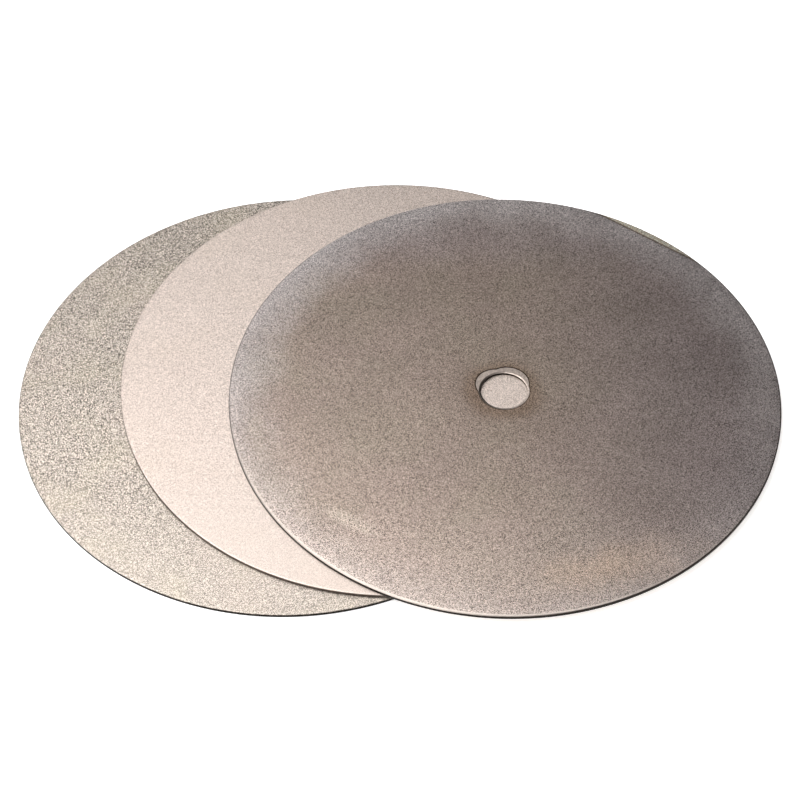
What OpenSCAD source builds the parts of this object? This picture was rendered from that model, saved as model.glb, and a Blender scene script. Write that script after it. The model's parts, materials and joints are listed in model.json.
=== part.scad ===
// Three electroplated diamond lap discs, fanned out in a low stack.
//
// Each disc is a punched steel plate with an arbor bore. Its working face carries a coat of
// nickel with diamond grit held in it, and its back carries a thin nickel plating. The coarse
// disc lies lowest and the fine disc lies on it, both with the grit up. The medium disc lies on
// top, turned over, so its plain back shows. Its plating has a window round the bore, where the
// plating plug sat off centre.
//
// The origin is the centre of the coarse disc's bore, on the underside.

/* [Discs] */
// Outer diameter of every disc
disc_d = 150; // [100:1:200]
// Diameter of the arbor bore in every disc
bore_d = 12.7; // [8:0.1:25.4]
// Thickness of the steel plate
plate_t = 0.75; // [0.5:0.05:2]
// Roll-over radius that the punch leaves at the rim of the back
rim_round = 0.3; // [0.15:0.05:0.45]
// Width of the eased ring round the bore on the back
bore_ease_w = 0.6; // [0.2:0.05:1]
// Depth of the eased ring in the steel
bore_ease_d = 0.2; // [0.05:0.05:0.4]
// Bare steel left between the rim and the coats on the working face
face_margin = 0.1; // [0.05:0.05:1]

/* [Coats] */
// Thickness of the nickel plating on the back
plating_t = 0.1; // [0.05:0.01:0.2]
// Thickness of the nickel that holds the grit
bond_t = 0.07; // [0.03:0.01:0.2]
// Height of the coarse grains above their nickel
coarse_grit_t = 0.12; // [0.03:0.01:0.3]
// Height of the medium grains above their nickel
medium_grit_t = 0.07; // [0.03:0.01:0.3]
// Height of the fine grains above their nickel
fine_grit_t = 0.04; // [0.02:0.01:0.3]

/* [Window in the medium disc's plating] */
// Radius of the lobe on the left
left_lobe_r = 5.3; // [4:0.1:6]
// Place of the left lobe's centre, from the bore's centre
left_lobe_at = [-2.35, 2.3];
// Radius of the lobe on the right
right_lobe_r = 5.9; // [4:0.1:6.2]
// Place of the right lobe's centre, from the bore's centre
right_lobe_at = [0.95, 2.4];

/* [Fan] */
// Place of the fine disc's centre, from the coarse disc's
fine_at = [27.5, 4.9];
// Place of the medium disc's centre, from the coarse disc's
medium_at = [57.5, -2.8];

/* [Hidden] */
$fn = 160;
disc_r = disc_d / 2;
bore_r = bore_d / 2;
// The plating stops at the eased ring, where its own edge is rounded
plating_edge_r = bore_r + bore_ease_w;
plating_edge_round = plating_t / 2;
// The plate and the plating together, under the working face's coats
base_t = plating_t + plate_t;
coarse_t = base_t + bond_t + coarse_grit_t;
medium_t = base_t + bond_t + medium_grit_t;
fine_t = base_t + bond_t + fine_grit_t;
// How far a cutting shape runs past what it cuts
spare = 1;

// What a rounding takes off a square corner at the origin, which opens towards +X and +Y
module corner_waste(round_r) {
    difference() {
        square(round_r);
        translate([round_r, round_r]) circle(round_r);
    }
}

// What the eased ring takes off the bore's square edge on the back
module bore_waste() {
    polygon([
        [bore_r, 0], [plating_edge_r, 0], [plating_edge_r, plating_t], [bore_r, plating_t + bore_ease_d]
    ]);
    translate([plating_edge_r, 0]) corner_waste(plating_edge_round);
}

// Half section of the plate and its plating, with the back on the X axis
module base_profile() {
    difference() {
        translate([bore_r, 0]) square([disc_r - bore_r, base_t]);
        bore_waste();
        translate([disc_r, 0]) mirror([1, 0]) corner_waste(rim_round);
    }
}

// The part of the plate and its plating between two heights above the back
module base_layer(from_z, to_z) {
    intersection() {
        rotate_extrude() base_profile();
        translate([0, 0, from_z]) cylinder(h = to_z - from_z, r = disc_r + spare);
    }
}

module plate() {
    base_layer(plating_t, base_t);
}

module back_plating() {
    base_layer(0, plating_t);
}

// A coat on the working face, from the bore out to the bare margin
module face_coat(from_z, thickness) {
    translate([0, 0, from_z]) difference() {
        cylinder(h = thickness, r = disc_r - face_margin);
        translate([0, 0, -spare]) cylinder(h = thickness + 2 * spare, r = bore_r);
    }
}

module nickel_bond() {
    face_coat(base_t, bond_t);
}

module grit(grain_t) {
    face_coat(base_t + bond_t, grain_t);
}

// The off-centre window that the plating plug left bare
module plating_window() {
    translate([0, 0, -spare]) {
        translate(left_lobe_at) cylinder(h = plating_t + 2 * spare, r = left_lobe_r);
        translate(right_lobe_at) cylinder(h = plating_t + 2 * spare, r = right_lobe_r);
    }
}

// The three places in the stack
module lay_fine() {
    translate([fine_at[0], fine_at[1], coarse_t]) children();
}

module lay_medium() {
    // mirrored and not rotated, so the window keeps the places given above
    translate([medium_at[0], medium_at[1], coarse_t + fine_t + medium_t]) mirror([0, 0, 1]) children();
}

module coarse_plate() {
    color("slategray") plate();
}

module coarse_back_plating() {
    color("darkgray") back_plating();
}

module coarse_nickel_bond() {
    color("silver") nickel_bond();
}

module coarse_grit() {
    color("antiquewhite") grit(coarse_grit_t);
}

module fine_plate() {
    color("slategray") lay_fine() plate();
}

module fine_back_plating() {
    color("darkgray") lay_fine() back_plating();
}

module fine_nickel_bond() {
    color("silver") lay_fine() nickel_bond();
}

module fine_grit() {
    color("linen") lay_fine() grit(fine_grit_t);
}

module medium_plate() {
    color("slategray") lay_medium() plate();
}

module medium_back_plating() {
    color("rosybrown") lay_medium() difference() {
        back_plating();
        plating_window();
    }
}

module medium_nickel_bond() {
    color("silver") lay_medium() nickel_bond();
}

module medium_grit() {
    color("antiquewhite") lay_medium() grit(medium_grit_t);
}

coarse_plate();
coarse_back_plating();
coarse_nickel_bond();
coarse_grit();
fine_plate();
fine_back_plating();
fine_nickel_bond();
fine_grit();
medium_plate();
medium_back_plating();
medium_nickel_bond();
medium_grit();
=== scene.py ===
"""Three diamond lap discs, fanned out in a low stack: the looks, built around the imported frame."""

import json
import math

import bpy
import numpy as np
from mathutils import Matrix, Vector


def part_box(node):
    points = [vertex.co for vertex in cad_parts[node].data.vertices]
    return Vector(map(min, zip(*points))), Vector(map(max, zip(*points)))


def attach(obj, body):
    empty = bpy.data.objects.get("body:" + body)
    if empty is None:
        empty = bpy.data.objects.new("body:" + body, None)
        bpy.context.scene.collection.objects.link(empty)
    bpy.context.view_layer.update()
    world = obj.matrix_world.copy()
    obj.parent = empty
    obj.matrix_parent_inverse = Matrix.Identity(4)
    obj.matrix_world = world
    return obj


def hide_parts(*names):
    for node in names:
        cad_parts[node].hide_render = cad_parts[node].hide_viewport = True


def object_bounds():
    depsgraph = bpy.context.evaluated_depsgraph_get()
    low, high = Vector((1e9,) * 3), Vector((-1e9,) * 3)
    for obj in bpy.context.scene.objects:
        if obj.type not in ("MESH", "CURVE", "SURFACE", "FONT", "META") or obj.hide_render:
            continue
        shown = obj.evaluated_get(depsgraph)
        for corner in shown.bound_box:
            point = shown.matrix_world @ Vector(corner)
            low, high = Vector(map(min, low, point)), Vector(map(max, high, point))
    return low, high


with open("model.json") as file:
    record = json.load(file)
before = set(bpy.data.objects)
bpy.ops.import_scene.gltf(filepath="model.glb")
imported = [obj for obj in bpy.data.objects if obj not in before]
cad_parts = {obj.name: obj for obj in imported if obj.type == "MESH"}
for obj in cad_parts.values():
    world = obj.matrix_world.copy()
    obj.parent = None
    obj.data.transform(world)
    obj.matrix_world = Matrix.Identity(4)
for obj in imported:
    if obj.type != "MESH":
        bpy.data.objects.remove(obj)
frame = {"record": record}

MM = 0.001
CAD_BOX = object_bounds()
MOUNTS = {mount["name"]: mount for mount in frame["record"]["mounts"]}

# Shapes that the frame doesn't name, as in the part's own design
RIM_ROUND = 0.3 * MM
BORE_EASE_WIDE = 0.6 * MM
BORE_EASE_DEEP = 0.2 * MM
FACE_MARGIN = 0.1 * MM
# The window in the medium disc's plating: each lobe's centre, from the bore's centre, and radius
WINDOW_LOBES = ((-2.35 * MM, 2.3 * MM, 5.3 * MM), (0.95 * MM, 2.4 * MM, 5.9 * MM))

# How far the dirt and painted shade along the plating's inner edge reach
GRIME_AND_SHADE_WIDE = 0.45 * MM

# Sides of a disc, in degrees round it: where the back's rim is worn bare, where the eased ring
# round the bore is darkest, from oil and painted shade, and where the rim's painted highlight lies
WORN_AT = 53
RING_SHADE_AT = 170
RIM_HIGHLIGHT_AT = 255
# How far out the worn piece of the rim starts, in mm
WORN_FROM = 73.0

# How finely the meshes are cut
SEGMENTS = 900
RIM_STEPS = 7
WALL_STEPS = 5
EASE_STEPS = 9
# Slack for telling which side of a limit a radius or a height is on
SLACK = 1e-9
# How far a grain may stray from its place in the rings, in grain spacings, with no face turned over
GRAIN_JITTER = 0.28
# Heights in the grit, as shares of its thickness: most grains, the proud ones, and the two edges
GRAIN_HEIGHTS = (0.48, 0.6)
PROUD_HEIGHTS = (0.75, 1)
EDGE_HEIGHTS = (0.2, 0.6)
# The grain that is too fine for the meshes and is in the materials: its size in mm, and on a plain
# back what a grain's colour is multiplied by, from the darkest to the lightest
FINE_GRAIN = 0.15
DARK_GRAIN = (0.1, 0.1, 0.1, 1)
LIGHT_GRAIN = (1.78, 1.78, 1.78, 1)

# The camera: its lens and place in mm, and how far it looks down and leans, in degrees
LENS = 94.31
CAMERA_AT = (29.1, -377.6, 433.6)
LOOK_DOWN = 49.2
LEAN = -0.7
# The softboxes: place and side in mm, and watts. They all aim at one point of the stack
SOFTBOXES = {
    "near_left": ((-100, -40, 300), 270, 0.88),
    "overhead_near": ((-60, 20, 380), 320, 0.48),
    "overhead_far": ((0, 0, 600), 400, 0.3),
    "back": ((0, 300, 600), 300, 0.09),
}
AIM = (30, 0, 0)


# ---------------------------------------------------------------- the discs, read from the frame


class Disc:
    """One disc's place and its layers' heights, from the plain back to the grains' tips."""

    def __init__(self, name, turned_over, edge_dark):
        self.name = name
        self.edge_dark = edge_dark
        self.body = f"{name}_disc"
        bore = MOUNTS[f"{name}_bore"]
        self.bore = bore["dims"]["r_mm"] * MM
        self.way_up = -1 if turned_over else 1
        near, far = (1, 0) if turned_over else (0, 1)
        self.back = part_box(f"{name}_back_plating")[near].z
        self.centre = Vector((*bore["pos_m"][:2], self.back))
        self.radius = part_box(f"{name}_plate")[1].x - self.centre.x
        self.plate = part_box(f"{name}_plate")[near].z
        self.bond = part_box(f"{name}_nickel_bond")[near].z
        self.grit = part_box(f"{name}_grit")[near].z
        self.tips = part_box(f"{name}_grit")[far].z

    def above_back(self, level):
        """A layer's height over the plain back."""
        return abs(level - self.back)


# edge_dark: how much of the dark edge colour, oil and painted shade, each disc's walls take
coarse = Disc("coarse", turned_over=False, edge_dark=1.0)
fine = Disc("fine", turned_over=False, edge_dark=0.75)
medium = Disc("medium", turned_over=True, edge_dark=1.0)
DISCS = (coarse, fine, medium)


# ---------------------------------------------------------------- mesh helpers


def make_piece(disc, node, points, faces, material, marks=None):
    """A mesh object that stands for a CAD node. marks holds one number a vertex, by attribute name."""
    mesh = bpy.data.meshes.new(node)
    mesh.from_pydata(points.tolist(), [], faces)
    mesh.polygons.foreach_set("use_smooth", [True] * len(mesh.polygons))
    for name, values in (marks or {}).items():
        attribute = mesh.attributes.new(name, "FLOAT", "POINT")
        attribute.data.foreach_set("value", np.asarray(values, np.float32))
    mesh.materials.append(material)
    mesh.validate()
    piece = bpy.data.objects.new(f"{node}_surface", mesh)
    bpy.context.collection.objects.link(piece)
    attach(piece, disc.body)
    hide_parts(node)
    return piece


def ring_faces(rows, columns, flip):
    """Quads of a grid that closes on itself both ways, as round a lathe-turned ring."""
    faces = []
    for row in range(rows):
        here, there = row * columns, (row + 1) % rows * columns
        for column in range(columns):
            after = (column + 1) % columns
            quad = (here + column, here + after, there + after, there + column)
            faces.append(quad[::-1] if flip else quad)
    return faces


def turned_points(disc, radii, heights):
    """Points at radii and at heights over the disc's back, both as rows by angle columns."""
    angles = np.linspace(0, 2 * math.pi, radii.shape[1], endpoint=False)
    x = disc.centre.x + radii * np.cos(angles)
    y = disc.centre.y + radii * np.sin(angles)
    z = disc.back + disc.way_up * heights
    return np.stack([x, y, z], axis=-1).reshape(-1, 3)


def roll_over(height, outer, round_r):
    """The radius at a height over the back, on a rim whose edge at the back is rounded."""
    if height >= round_r:
        return outer
    return outer - round_r + math.sqrt(round_r**2 - (round_r - height) ** 2)


def ease_in(bore, low, steps):
    """The eased ring round the bore, from its wall out to the plate's face, as radius and height."""
    outline = []
    for turn in np.linspace(0, math.pi / 2, steps):
        radius = bore + BORE_EASE_WIDE * (1 - math.cos(turn))
        outline.append((radius, low + BORE_EASE_DEEP * (1 - math.sin(turn))))
    return outline


def smooth_steps(low, high, steps):
    """Heights that crowd towards the low end, where a rounding curves most."""
    return [low + (high - low) * (step / steps) ** 2 for step in range(steps + 1)]


# ---------------------------------------------------------------- sub-parts


def steel_plate(disc, material):
    """The punched plate. The punch leaves a smooth band and then a torn, slightly ragged one."""
    node = f"{disc.name}_plate"
    rng = np.random.default_rng(len(node))
    low, high = disc.above_back(disc.plate), disc.above_back(disc.bond)
    smooth_share, ragged = 0.45, 0.02 * MM
    torn_from = low + smooth_share * (high - low)
    rim = [(roll_over(h, disc.radius, RIM_ROUND), h) for h in smooth_steps(low, RIM_ROUND, RIM_STEPS)]
    rim += [(disc.radius, h) for h in np.linspace(torn_from, high, WALL_STEPS)]
    bore = [(disc.bore, h) for h in np.linspace(high, low + BORE_EASE_DEEP, WALL_STEPS)[:-1]]
    ring = ease_in(disc.bore, low, EASE_STEPS)
    flat_from, flat_to = disc.bore + BORE_EASE_WIDE, disc.radius - RIM_ROUND
    face = [(flat_from + share * (flat_to - flat_from), low) for share in (0.02, 0.06, 0.5)]
    outline = rim + bore + ring + face
    radii = np.array([[r] * SEGMENTS for r, _ in outline])
    heights = np.array([[h] * SEGMENTS for _, h in outline])
    torn = (radii > disc.radius - SLACK) & (heights > torn_from + SLACK)
    radii -= torn * ragged * rng.random(radii.shape)
    points = turned_points(disc, radii, heights)
    faces = ring_faces(len(outline), SEGMENTS, flip=disc.way_up < 0)
    # The walls take their disc's share of the dark edge colour, which is oil and painted shade
    wall = (radii > disc.radius - RIM_ROUND + SLACK) | (radii < disc.bore + SLACK)
    eased = radii < disc.bore + BORE_EASE_WIDE - SLACK
    angles = np.linspace(0, 2 * math.pi, SEGMENTS, endpoint=False)
    # The eased ring: darkened all round for oil, and with painted shade deepening it towards one side
    oil_and_shade = 0.45 + 0.4 * np.cos(angles - math.radians(RING_SHADE_AT))
    cut = np.where(wall, disc.edge_dark, np.where(eased, oil_and_shade, 0))
    return make_piece(disc, node, points, faces, material, marks={"cut": cut.ravel()})


def window_edge(angles, bore_edge):
    """The plating's inner radius at each angle: the furthest of the bore's edge and the lobes'."""
    edge = np.full(len(angles), bore_edge)
    for x, y, r in WINDOW_LOBES:
        along = x * np.cos(angles) + y * np.sin(angles)
        edge = np.maximum(edge, along + np.sqrt(along**2 + r**2 - x**2 - y**2))
    return edge


def back_plating(disc, material, window=False):
    """The thin nickel on the plain back, with its eased edges and, on one disc, the window.

    Its rows of points run from the plate out along the inner edge, over the face and round the rim."""
    node = f"{disc.name}_back_plating"
    angles = np.linspace(0, 2 * math.pi, SEGMENTS, endpoint=False)
    thick = disc.above_back(disc.plate)
    no_window = np.full(SEGMENTS, disc.bore + BORE_EASE_WIDE)
    edge = window_edge(angles, disc.bore + BORE_EASE_WIDE) if window else no_window
    ease = thick / 2
    rows = [(edge, thick), (edge, ease), (edge + 0.3 * ease, 0.3 * ease), (edge + ease, 0)]
    steps_mm = (0.08, 0.16, 0.25, 0.35, 0.45, 0.55, 0.8, 1.5, 3)
    rows += [(edge + ease + step * MM, 0) for step in steps_mm]
    last, flat_to = rows[-1][0], disc.radius - RIM_ROUND
    rows += [(last + (flat_to - last) * share, 0) for share in np.linspace(0, 1, 25)[1:]]
    rim = smooth_steps(0, thick, RIM_STEPS)[1:]
    rows += [(np.full(SEGMENTS, roll_over(h, disc.radius, RIM_ROUND)), h) for h in rim]
    radii = np.array([np.broadcast_to(r, SEGMENTS) for r, _ in rows])
    heights = np.array([[h] * SEGMENTS for _, h in rows])
    points = turned_points(disc, radii, heights)
    faces = ring_faces(len(rows), SEGMENTS, flip=disc.way_up > 0)
    # Dirt and painted shade along the plating's inner edge, strongest round the window
    from_edge = (radii - edge - ease) / (GRIME_AND_SHADE_WIDE - ease)
    in_window = edge > no_window + 0.05 * MM
    strength = np.where(in_window, 1.0, 0.7)
    grime = np.clip(1 - from_edge, 0, 1) * strength
    return make_piece(disc, node, points, faces, material, marks={"grime": grime.ravel()})


def nickel_bond(disc, material):
    """The nickel that holds the grit: a flat ring whose top edge is rounded by the plating bath."""
    node = f"{disc.name}_nickel_bond"
    low, high = disc.above_back(disc.bond), disc.above_back(disc.grit)
    outer, soft = disc.radius - FACE_MARGIN, 0.4 * (high - low)
    turn = np.linspace(0, math.pi / 2, WALL_STEPS)
    outline = [(outer, low)]
    outline += [(outer - soft + soft * math.cos(a), high - soft + soft * math.sin(a)) for a in turn]
    outline += [(disc.bore + share * (outer - disc.bore), high) for share in (0.75, 0.5, 0.25)]
    outline += [(disc.bore, high), (disc.bore, low)]
    radii = np.array([[r] * SEGMENTS for r, _ in outline])
    heights = np.array([[h] * SEGMENTS for _, h in outline])
    points = turned_points(disc, radii, heights)
    faces = ring_faces(len(outline), SEGMENTS, flip=disc.way_up < 0)
    return make_piece(disc, node, points, faces, material)


def stitch(first, first_count, second, second_count):
    """Triangles between two rings of unlike counts, each given by its first vertex's index."""
    faces = []
    a = b = 0
    while a < first_count or b < second_count:
        here, there = first + a % first_count, second + b % second_count
        if b == second_count or (a < first_count and (a + 1) * second_count <= (b + 1) * first_count):
            faces.append((here, there, first + (a + 1) % first_count))
            a += 1
        else:
            faces.append((here, there, second + (b + 1) % second_count))
            b += 1
    return faces


def grit_relief(disc, material, spacing, proud_share, seed):
    """The grains, as a relief: rings of jittered points, each at a random height up to the tips.

    spacing is the way from grain to grain, and proud_share how many stand clear of the rest."""
    node = f"{disc.name}_grit"
    rng = np.random.default_rng(seed)
    low, high = disc.above_back(disc.grit), disc.above_back(disc.tips)
    outer = disc.radius - FACE_MARGIN
    ring_gap = spacing * math.sqrt(3) / 2
    ring_count = round((outer - disc.bore) / ring_gap)
    radii_of_rings = np.linspace(disc.bore, outer, ring_count + 1)
    rings, points, grains = [], [], []
    start = 0

    def add_ring(radius, height, jitter):
        nonlocal start
        count = round(2 * math.pi * radius / spacing)
        angles = (np.arange(count) + rng.uniform(-jitter, jitter, count)) * 2 * math.pi / count
        r = radius + ring_gap * rng.uniform(-jitter, jitter, count)
        z = disc.back + disc.way_up * height(count)
        x, y = disc.centre.x + r * np.cos(angles), disc.centre.y + r * np.sin(angles)
        points.append(np.stack([x, y, z], axis=-1))
        rings.append((start, count))
        grains.append((disc.way_up * (z - disc.back) - low) / (high - low))
        start += count

    def floor_height(count):
        return np.full(count, low)

    def grain_height(count):
        proud = rng.random(count) < proud_share
        share = np.where(proud, rng.uniform(*PROUD_HEIGHTS, count), rng.uniform(*GRAIN_HEIGHTS, count))
        return low + (high - low) * share

    def edge_height(count):
        return low + (high - low) * rng.uniform(*EDGE_HEIGHTS, count)

    add_ring(disc.bore, floor_height, 0)
    add_ring(disc.bore, edge_height, 0)
    for radius in radii_of_rings[1:-1]:
        add_ring(radius, grain_height, GRAIN_JITTER)
    add_ring(outer, edge_height, 0)
    add_ring(outer, floor_height, 0)
    faces = []
    for (first, first_count), (second, second_count) in zip(rings, rings[1:] + rings[:1]):
        faces += stitch(first, first_count, second, second_count)
    if disc.way_up > 0:
        faces = [face[::-1] for face in faces]
    marks = {"grain": np.concatenate(grains)}
    return make_piece(disc, node, np.concatenate(points), faces, material, marks)


# ---------------------------------------------------------------- material helpers


class Paint:
    """A material's node tree, with short calls for the nodes that the finishes share."""

    def __init__(self, name, centre=Vector()):
        self.material = bpy.data.materials.new(name)
        self.material.use_nodes = True
        self.tree = self.material.node_tree
        self.shader = self.tree.nodes["Principled BSDF"]
        place = self.node("ShaderNodeTexCoord").outputs["Object"]
        self.mm = self.vector("SCALE", self.vector("SUBTRACT", place, tuple(centre)), scale=1 / MM)

    def node(self, kind):
        return self.tree.nodes.new(kind)

    def join(self, value, socket):
        """Links a node's output into a socket, or sets the socket to a plain value."""
        if isinstance(value, bpy.types.NodeSocket):
            self.tree.links.new(value, socket)
        else:
            socket.default_value = value

    def vector(self, operation, first, second=None, scale=None):
        node = self.node("ShaderNodeVectorMath")
        node.operation = operation
        self.join(first, node.inputs[0])
        if second is not None:
            self.join(second, node.inputs[1])
        if scale is not None:
            node.inputs["Scale"].default_value = scale
        return node.outputs["Value" if operation in ("LENGTH", "DOT_PRODUCT") else "Vector"]

    def maths(self, operation, first, second=0.0):
        node = self.node("ShaderNodeMath")
        node.operation = operation
        self.join(first, node.inputs[0])
        self.join(second, node.inputs[1])
        return node.outputs[0]

    def span(self, value, low, high, to_low=0.0, to_high=1.0):
        """value's way from low to high, eased, as a number from to_low to to_high."""
        node = self.node("ShaderNodeMapRange")
        node.interpolation_type = "SMOOTHSTEP"
        self.join(value, node.inputs["Value"])
        node.inputs["From Min"].default_value = low
        node.inputs["From Max"].default_value = high
        node.inputs["To Min"].default_value = to_low
        node.inputs["To Max"].default_value = to_high
        return node.outputs[0]

    def noise(self, size_mm, detail=2.0, roughness=0.5, seed=0.0, place=None):
        """Soft noise whose blotches are about size_mm across."""
        node = self.node("ShaderNodeTexNoise")
        node.noise_dimensions = "4D"
        self.join(self.mm if place is None else place, node.inputs["Vector"])
        node.inputs["W"].default_value = seed
        node.inputs["Scale"].default_value = 1 / size_mm
        node.inputs["Detail"].default_value = detail
        node.inputs["Roughness"].default_value = roughness
        return node.outputs["Fac"]

    def cells(self, size_mm, seed=0.0):
        """A random number for each cell about size_mm across, and the distance from its heart."""
        node = self.node("ShaderNodeTexVoronoi")
        apart = self.vector("ADD", self.mm, (seed * 37.0, seed * 11.0, 0.0))
        self.join(apart, node.inputs["Vector"])
        node.inputs["Scale"].default_value = 1 / size_mm
        split = self.node("ShaderNodeSeparateColor")
        self.join(node.outputs["Color"], split.inputs[0])
        return split.outputs["Red"], node.outputs["Distance"]

    def patch(self, x, y, half_long, half_wide, turn=0.0, ragged=0.5, seed=0.0):
        """How deep a point lies in a soft-edged oval stain: 1 well inside, 0 outside."""
        node = self.node("ShaderNodeMapping")
        node.vector_type = "TEXTURE"
        self.join(self.mm, node.inputs["Vector"])
        node.inputs["Location"].default_value = (x, y, 0)
        node.inputs["Rotation"].default_value = (0, 0, math.radians(turn))
        node.inputs["Scale"].default_value = (half_long, half_wide, half_long)
        away = self.vector("LENGTH", node.outputs[0])
        wander = self.maths("MULTIPLY", self.noise(half_wide, detail=4, seed=seed), ragged)
        return self.span(self.maths("ADD", away, wander), 1 + ragged / 2, ragged / 2)

    def mix(self, share, first, second, how="MIX"):
        node = self.node("ShaderNodeMix")
        node.data_type = "RGBA"
        node.blend_type = how
        self.join(share, node.inputs["Factor"])
        self.join(first, node.inputs["A"])
        self.join(second, node.inputs["B"])
        return node.outputs["Result"]

    def tint(self, share, colour, stain, most):
        """colour with as much of the stain's colour laid over it as share says, up to most."""
        return self.mix(self.maths("MULTIPLY", share, most), colour, stain)

    def mark(self, name):
        """The number that the mesh holds at each vertex under this name."""
        node = self.node("ShaderNodeAttribute")
        node.attribute_name = name
        return node.outputs["Fac"]

    def bump(self, height, depth_mm):
        node = self.node("ShaderNodeBump")
        node.inputs["Strength"].default_value = 1.0
        node.inputs["Distance"].default_value = depth_mm * MM
        self.join(height, node.inputs["Height"])
        self.join(node.outputs[0], self.shader.inputs["Normal"])

    def finish(self, colour, roughness, metallic):
        self.join(colour, self.shader.inputs["Base Color"])
        self.join(roughness, self.shader.inputs["Roughness"])
        self.shader.inputs["Metallic"].default_value = metallic
        return self.material


def tone(red, green, blue):
    """A colour from its screen values, 0 to 255."""
    return tuple((value / 255) ** 2.2 for value in (red, green, blue)) + (1.0,)


# ---------------------------------------------------------------- finishes


def steel_finish():
    """Clean satin steel on the faces; on the cut edges dark, partly oily steel and partly painted shade,
    with fine drag lines down them.
    """
    paint = Paint("steel")
    stretched = paint.vector("MULTIPLY", paint.mm, (1.0, 1.0, 0.15))
    drag = paint.noise(0.12, detail=3, place=stretched)
    cloud = paint.noise(4, detail=3, seed=2)
    fleck = paint.noise(0.35, detail=2, seed=4)
    face = paint.mix(paint.span(fleck, 0.35, 0.65), tone(168, 154, 145), tone(202, 188, 178))
    # The edges' dark colour: oily steel, and painted shade for walls that face away from the light
    edge = paint.mix(cloud, tone(24, 20, 17), tone(38, 32, 28))
    edge = paint.mix(paint.span(drag, 0.4, 0.7, 0, 0.6), edge, tone(14, 12, 10))
    paint.bump(drag, 0.03)
    colour = paint.mix(paint.mark("cut"), face, edge)
    return paint.finish(colour, paint.span(cloud, 0.3, 0.7, 0.36, 0.44), 1.0)


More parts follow.
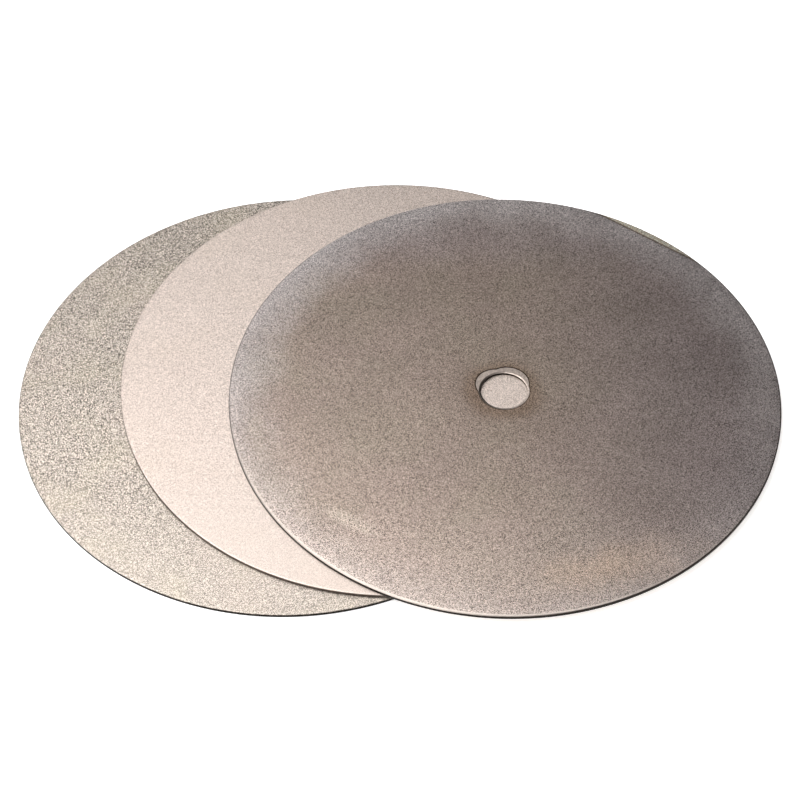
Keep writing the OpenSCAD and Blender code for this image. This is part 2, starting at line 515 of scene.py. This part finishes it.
def back_finish(disc, seed):
    """Satin nickel on rolled steel: stained brown, paler and bluer at the rim, dull and grainy."""
    paint = Paint(f"{disc.name}_back", disc.centre)
    across = paint.vector("DOT_PRODUCT", paint.mm, (1.0, 0.0, 0.0))
    along = paint.vector("DOT_PRODUCT", paint.mm, (0.0, 1.0, 0.0))
    from_bore = paint.vector("LENGTH", paint.mm)
    wander = paint.noise(16, detail=5, roughness=0.6, seed=seed)

    # the broad stains, and tints that darken the colour towards the right and lighten it towards the far
    # and the near side
    clouds = paint.span(paint.noise(22, detail=5, seed=seed + 1), 0.35, 0.65)
    colour = paint.mix(clouds, tone(169, 152, 142), tone(166, 151, 139))
    olive = paint.span(paint.noise(13, detail=5, seed=seed + 2), 0.5, 0.7)
    colour = paint.tint(olive, colour, tone(162, 152, 137), 0.25)
    reach = paint.maths("ADD", across, paint.maths("MULTIPLY", wander, 20.0))
    colour = paint.tint(paint.span(reach, 5, 75), colour, tone(154, 142, 141), 0.8)
    reach = paint.maths("ADD", along, paint.maths("MULTIPLY", wander, 12.0))
    colour = paint.tint(paint.span(reach, 48, 66), colour, tone(172, 159, 158), 0.6)
    colour = paint.tint(paint.span(along, -35, -60), colour, tone(178, 163, 154), 0.45)
    rust = paint.patch(24, -60, 30, 11, turn=12, ragged=1.2, seed=seed)
    colour = paint.tint(rust, colour, tone(202, 175, 152), 0.5)
    left_rust = paint.patch(-67, -14, 14, 4, turn=100, ragged=1.2, seed=seed + 3)
    colour = paint.tint(left_rust, colour, tone(170, 154, 134), 0.4)
    smear = paint.patch(-42, -44, 13, 3.2, turn=-34, ragged=0.5, seed=seed + 4)
    colour = paint.tint(smear, colour, tone(196, 182, 169), 0.75)

    # the brown halo round the bore
    reach = paint.maths("ADD", from_bore, paint.maths("MULTIPLY", wander, 14.0))
    colour = paint.tint(paint.span(reach, 32, 13), colour, tone(156, 140, 126), 0.4)
    reach = paint.maths("ADD", from_bore, paint.maths("MULTIPLY", wander, 5.0))
    colour = paint.tint(paint.span(reach, 15.5, 10), colour, tone(138, 116, 99), 0.65)

    # the paler band along the rim, and the piece of the rim that is worn bare
    reach = paint.maths("ADD", from_bore, paint.maths("MULTIPLY", wander, 16.0))
    share = paint.maths("MULTIPLY", paint.span(reach, 66, 85), paint.span(across, -75, 70, 0.75, 0.57))
    share = paint.maths("MULTIPLY", share, paint.span(along, -65, 60, 0.35, 1.25))
    colour = paint.tint(share, colour, tone(205, 198, 197), 0.9)
    worn_way = (math.cos(math.radians(WORN_AT)), math.sin(math.radians(WORN_AT)), 0.0)
    worn = paint.vector("DOT_PRODUCT", paint.mm, worn_way)
    shadow = paint.span(worn, WORN_FROM - 0.8, WORN_FROM - 0.1)
    colour = paint.tint(shadow, colour, tone(112, 94, 76), 0.7)
    bare = paint.span(worn, WORN_FROM, WORN_FROM + 0.25)
    colour = paint.tint(bare, colour, tone(255, 236, 208), 0.95)

    # the dull grain, the painted highlight and painted shade on the rim's edge, and the dirt and painted
    # shade in the corners
    grain, heart = paint.cells(FINE_GRAIN, seed)
    shades = paint.mix(grain, DARK_GRAIN, LIGHT_GRAIN)
    colour = paint.mix(1.0, colour, shades, "MULTIPLY")
    # A painted highlight along the rim's rounding, on one side of the disc
    highlight_way = (math.cos(math.radians(RIM_HIGHLIGHT_AT)), math.sin(math.radians(RIM_HIGHLIGHT_AT)), 0.0)
    highlight_side = paint.span(paint.vector("DOT_PRODUCT", paint.mm, highlight_way), 20, 75)
    share = paint.maths("MULTIPLY", highlight_side, paint.span(from_bore, 74.05, 74.25))
    colour = paint.tint(share, colour, tone(208, 196, 187), 0.8)
    # Painted shade: a dark line along the rim's outer edge, strongest on the right, gone at the far side
    share = paint.maths("MULTIPLY", paint.span(from_bore, 74.55, 74.75), paint.span(along, 62, 50))
    share = paint.maths("MULTIPLY", share, paint.span(across, -30, 30, 0.55, 1))
    colour = paint.tint(share, colour, tone(50, 44, 40), 0.9)
    # Dirt and painted shade along the plating's inner edge
    colour = paint.tint(paint.span(paint.mark("grime"), 0.25, 0.6), colour, tone(36, 29, 24), 0.92)
    paint.bump(heart, 0.02)
    return paint.finish(colour, paint.span(wander, 0.3, 0.7, 0.34, 0.4), 1.0)


def nickel_finish():
    """Dull electroplated nickel, slightly nodular."""
    paint = Paint("nickel")
    nodules = paint.noise(0.3, detail=3, seed=5)
    colour = paint.mix(nodules, tone(120, 110, 100), tone(160, 150, 138))
    paint.bump(nodules, 0.03)
    return paint.finish(colour, paint.span(nodules, 0.3, 0.7, 0.4, 0.55), 1.0)


def grit_finish(disc, valley, tip, shades, depth_mm, tints, evened, shade_gradient):
    """Diamond grains in nickel: each small grain a shade of its own, from the valleys' to the tips'.

    shades is the range of the random numbers over which the colour goes from valley to tip. evened
    is how much of that difference is gone at the near edge. tints are soft stains: the size in mm,
    the colour and the strength of each. The last argument is painted shade that darkens the grit
    towards one side: that side in degrees, where the darkening starts and ends, in mm from the centre
    towards that side, and what the colour is multiplied by before the start and past the end."""
    paint = Paint(f"{disc.name}_grit", disc.centre)
    shade, heart = paint.cells(FINE_GRAIN)
    lift = paint.span(paint.mark("grain"), 0.3, 1.0, 0.0, 0.15)
    colour = paint.mix(paint.span(paint.maths("ADD", shade, lift), *shades), valley, tip)
    middle = tuple((low + high) / 2 for low, high in zip(valley, tip))
    along = paint.vector("DOT_PRODUCT", paint.mm, (0.0, 1.0, 0.0))
    colour = paint.tint(paint.span(along, -25, -60), colour, middle, evened)
    for seed, (size_mm, stain, most) in enumerate(tints):
        blotch = paint.span(paint.noise(size_mm, detail=4, seed=seed), 0.45, 0.7)
        colour = paint.tint(blotch, colour, stain, most)
    # Painted shade: the colour multiplied down from one side of the disc to the other
    side, start, end, clean, dull = shade_gradient
    way = (math.cos(math.radians(side)), math.sin(math.radians(side)), 0.0)
    out = paint.span(paint.vector("DOT_PRODUCT", paint.mm, way), start, end)
    painted_gradient = paint.mix(out, (clean, clean, clean, 1), (dull, dull, dull, 1))
    colour = paint.mix(1.0, colour, painted_gradient, "MULTIPLY")
    paint.bump(heart, depth_mm)
    return paint.finish(colour, paint.span(shade, 0, 1, 0.44, 0.56), 0.7)


# ---------------------------------------------------------------- the object

steel = steel_finish()
nickel = nickel_finish()
pink, straw = tone(206, 184, 174), tone(196, 186, 160)
coarse_tints = ((24, pink, 0.1), (15, straw, 0.15))
fine_tints = ((40, pink, 0.1), (20, straw, 0.05))
medium_tints = ((30, pink, 0.2), (18, straw, 0.2))
# Painted shade on the grit: lighter towards the near side and darker towards the far side
coarse_shade_gradient = (90, -70, 70, 1.04, 0.92)
fine_shade_gradient = (45, 0, 60, 1.02, 0.9)
coarse_colours = (tone(72, 67, 61), tone(231, 218, 206))
fine_colours = (tone(146, 134, 125), tone(229, 214, 205))
medium_colours = (tone(70, 62, 56), tone(228, 214, 200))
grit_looks = {
    coarse: grit_finish(coarse, *coarse_colours, (0.45, 0.75), 0.02, coarse_tints, 0.4, coarse_shade_gradient),
    fine: grit_finish(fine, *fine_colours, (0.0, 1.0), 0.01, fine_tints, 0.5, fine_shade_gradient),
    medium: grit_finish(medium, *medium_colours, (0.1, 0.9), 0.03, medium_tints, 0.4, coarse_shade_gradient),
}
# Each disc's grains in the mesh: how far apart, and the share that stand clear of the rest
grit_grains = {coarse: (0.47 * MM, 0.02), fine: (0.47 * MM, 0), medium: (0.5 * MM, 0.01)}

for seed, disc in enumerate(DISCS, start=1):
    steel_plate(disc, steel)
    back_plating(disc, back_finish(disc, seed), window=disc is medium)
    nickel_bond(disc, nickel)
    relief = grit_relief(disc, grit_looks[disc], *grit_grains[disc], seed)


# ---------------------------------------------------------------- floor, light and camera


def make_floor():
    """A plain pale floor at the height that the stack stands on."""
    half, glow = 3.0, 0.6
    level = CAD_BOX[0].z
    corners = [(-half, -half, level), (half, -half, level), (half, half, level), (-half, half, level)]
    mesh = bpy.data.meshes.new("floor")
    mesh.from_pydata(corners, [], [(0, 1, 2, 3)])
    paint = Paint("floor_paper")
    speck = paint.noise(2, seed=8)
    colour = paint.mix(speck, (0.93, 0.93, 0.93, 1), (0.95, 0.95, 0.95, 1))
    paint.shader.inputs["Emission Color"].default_value = (1, 1, 1, 1)
    paint.shader.inputs["Emission Strength"].default_value = glow
    mesh.materials.append(paint.finish(colour, 0.9, 0.0))
    floor = bpy.data.objects.new("floor", mesh)
    bpy.context.collection.objects.link(floor)


def softbox(name, place_mm, side_mm, watts):
    """A square studio light, aimed at the stack and out of the camera's sight."""
    data = bpy.data.lights.new(name, "AREA")
    data.shape = "SQUARE"
    data.size = side_mm * MM
    data.energy = watts
    light = bpy.data.objects.new(name, data)
    light.location = Vector(place_mm) * MM
    light.rotation_mode = "QUATERNION"
    light.rotation_quaternion = (Vector(AIM) - Vector(place_mm)).to_track_quat("-Z", "Y")
    light.visible_camera = False
    bpy.context.collection.objects.link(light)


def make_world(bright, dark):
    """The room: bright to the left, dim to the right, and half as bright low down."""
    world = bpy.data.worlds.new("room")
    world.use_nodes = True
    tree = world.node_tree
    background = tree.nodes["Background"]
    way = tree.nodes.new("ShaderNodeTexCoord").outputs["Generated"]

    def ramp(direction, start, end, low, high):
        """A number that goes from low to high as the way looked in turns towards direction."""
        dot = tree.nodes.new("ShaderNodeVectorMath")
        dot.operation = "DOT_PRODUCT"
        tree.links.new(way, dot.inputs[0])
        dot.inputs[1].default_value = direction
        node = tree.nodes.new("ShaderNodeMapRange")
        node.interpolation_type = "SMOOTHSTEP"
        tree.links.new(dot.outputs["Value"], node.inputs["Value"])
        for name, value in zip(("From Min", "From Max", "To Min", "To Max"), (start, end, low, high)):
            node.inputs[name].default_value = value
        return node.outputs[0]

    strength = tree.nodes.new("ShaderNodeMath")
    strength.operation = "MULTIPLY"
    tree.links.new(ramp((-1, 0, 0), -0.2, 0.55, dark, bright), strength.inputs[0])
    tree.links.new(ramp((0, 0, 1), 0.2, 0.5, 0.5, 1), strength.inputs[1])
    tree.links.new(strength.outputs[0], background.inputs["Strength"])
    background.inputs["Color"].default_value = (1.0, 1.0, 1.0, 1)
    bpy.context.scene.world = world


def make_camera():
    """The view: from the front, half way up, 570 mm from the discs."""
    data = bpy.data.cameras.new("camera")
    data.lens = LENS
    data.sensor_width = 36
    data.clip_start = 0.01
    camera = bpy.data.objects.new("camera", data)
    pitch = Matrix.Rotation(math.pi / 2 - math.radians(LOOK_DOWN), 4, "X")
    turn = pitch @ Matrix.Rotation(math.radians(LEAN), 4, "Z")
    camera.matrix_world = Matrix.Translation(Vector(CAMERA_AT) * MM) @ turn
    bpy.context.collection.objects.link(camera)
    bpy.context.scene.camera = camera


make_floor()
make_world(bright=1.4, dark=0.13)
for name, (place_mm, side_mm, watts) in SOFTBOXES.items():
    softbox(name, place_mm, side_mm, watts)
make_camera()
bpy.context.scene.view_settings.view_transform = "Standard"
